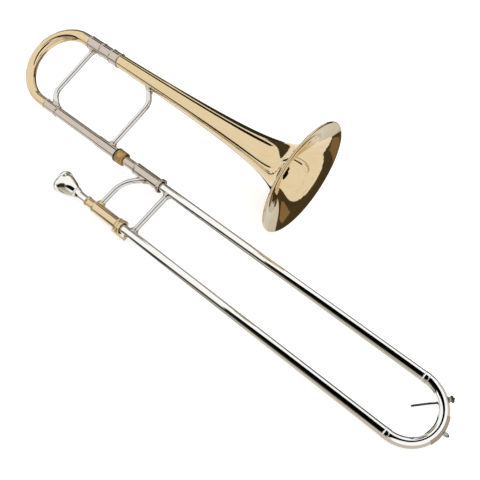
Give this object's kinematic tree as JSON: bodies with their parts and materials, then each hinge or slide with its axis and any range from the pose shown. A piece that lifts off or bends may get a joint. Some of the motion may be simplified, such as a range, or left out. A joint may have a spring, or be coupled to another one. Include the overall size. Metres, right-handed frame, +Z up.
{
  "type": "alto trombone",
  "caption": "Alto trombone in E flat with a closed hand slide, lacquered brass bell, tuning slide, slide lock and water key, lying on a flat surface.",
  "frame": {"origin": "bottom centre of the bounding box of the instrument as it lies on its mouthpiece, slide and bell rim", "axes": "+Z up, +X along the hand slide towards its bow, +Y towards the bell"},
  "size_m": [0.8588, 0.3014, 0.1775],
  "materials": {
    "brass": "lacquered brass, polished",
    "gold_brass": "lacquered gold brass, knurled",
    "nickel": "polished nickel silver",
    "chrome": "bright chrome plate",
    "silver": "bright silver plate",
    "steel": "plain steel",
    "cork": "natural cork",
    "rubber": "matte black rubber"
  },
  "bodies": {
    "inner_slide": {"mouthpiece_receiver": "brass", "lower_cork_barrel": "brass", "upper_cork_barrel": "nickel", "lower_barrel_cork": "cork", "upper_barrel_cork": "cork", "lower_inner_tube": "chrome", "upper_inner_tube": "chrome", "leadpipe": "brass", "slide_connector": "nickel", "hand_brace": "chrome", "hand_brace_lower_flange": "brass", "hand_brace_upper_flange": "nickel"},
    "mouthpiece": {"mouthpiece": "silver"},
    "lock_nut": {"lock_nut": "gold_brass"},
    "slide_lock": {"slide_lock": "brass"},
    "hand_slide": {"lower_outer_tube": "chrome", "upper_outer_tube": "chrome", "outer_brace": "chrome", "outer_brace_lower_flange": "nickel", "outer_brace_upper_flange": "nickel", "slide_lock_stud": "brass", "lower_bow_ferrule": "nickel", "upper_bow_ferrule": "nickel", "slide_bow": "nickel", "bow_guard": "nickel", "bumper_holder": "chrome", "rubber_bumper": "rubber", "water_key_nipple": "nickel", "water_key_saddle": "nickel", "water_key_screw": "steel", "water_key_spring": "steel"},
    "water_key": {"water_key": "nickel", "water_key_cork": "cork"},
    "bell_section": {"bell_receiver": "nickel", "neckpipe": "nickel", "tuning_sleeve": "nickel", "bell_ferrule": "nickel", "bell": "brass", "bell_rim_wire": "steel", "front_brace": "chrome", "front_brace_lower_flange": "nickel", "front_brace_upper_flange": "nickel"},
    "tuning_slide": {"tuning_bow": "brass", "lower_tuning_ferrule": "nickel", "upper_tuning_ferrule": "nickel", "lower_tuning_leg": "nickel", "upper_tuning_leg": "nickel", "rear_brace": "chrome", "rear_brace_upper_flange": "nickel", "rear_brace_lower_flange": "nickel"}
  },
  "joints": [
    {"name": "hand_slide_travel", "type": "slide", "parent": "inner_slide", "child": "hand_slide", "axis": [0.9998, 0.0021, -0.018], "range_m": [0, 0.42]},
    {"name": "bell_swivel", "type": "hinge", "parent": "inner_slide", "child": "bell_section", "pos_m": [-0.08263, -0.04918, 0.03521], "axis": [0.9998, 0.0021, -0.018], "range_deg": [-14.1, 90]},
    {"name": "lock_nut_turn", "type": "hinge", "parent": "inner_slide", "child": "lock_nut", "pos_m": [-0.08263, -0.04918, 0.03521], "axis": [0.9998, 0.0021, -0.018], "continuous": true},
    {"name": "mouthpiece_pull", "type": "slide", "parent": "inner_slide", "child": "mouthpiece", "axis": [-0.9998, -0.0021, 0.018], "range_m": [0, 0.018]},
    {"name": "slide_lock_turn", "type": "hinge", "parent": "inner_slide", "child": "slide_lock", "pos_m": [-0.0828, -0.13201, 0.0161], "axis": [0.9998, 0.0021, -0.018], "range_deg": [0, 32]},
    {"name": "tuning_slide_travel", "type": "slide", "parent": "bell_section", "child": "tuning_slide", "axis": [-0.9998, -0.0021, 0.018], "range_m": [0, 0.03]},
    {"name": "water_key_swing", "type": "hinge", "parent": "hand_slide", "child": "water_key", "pos_m": [0.40127, -0.05636, 0.01235], "axis": [-0.7358, 0.6568, 0.1651], "range_deg": [0, 15], "stiffness_Nm_per_rad": 0.02, "springref_deg": -28.65, "deforming": ["water_key_spring"]}
  ]
}
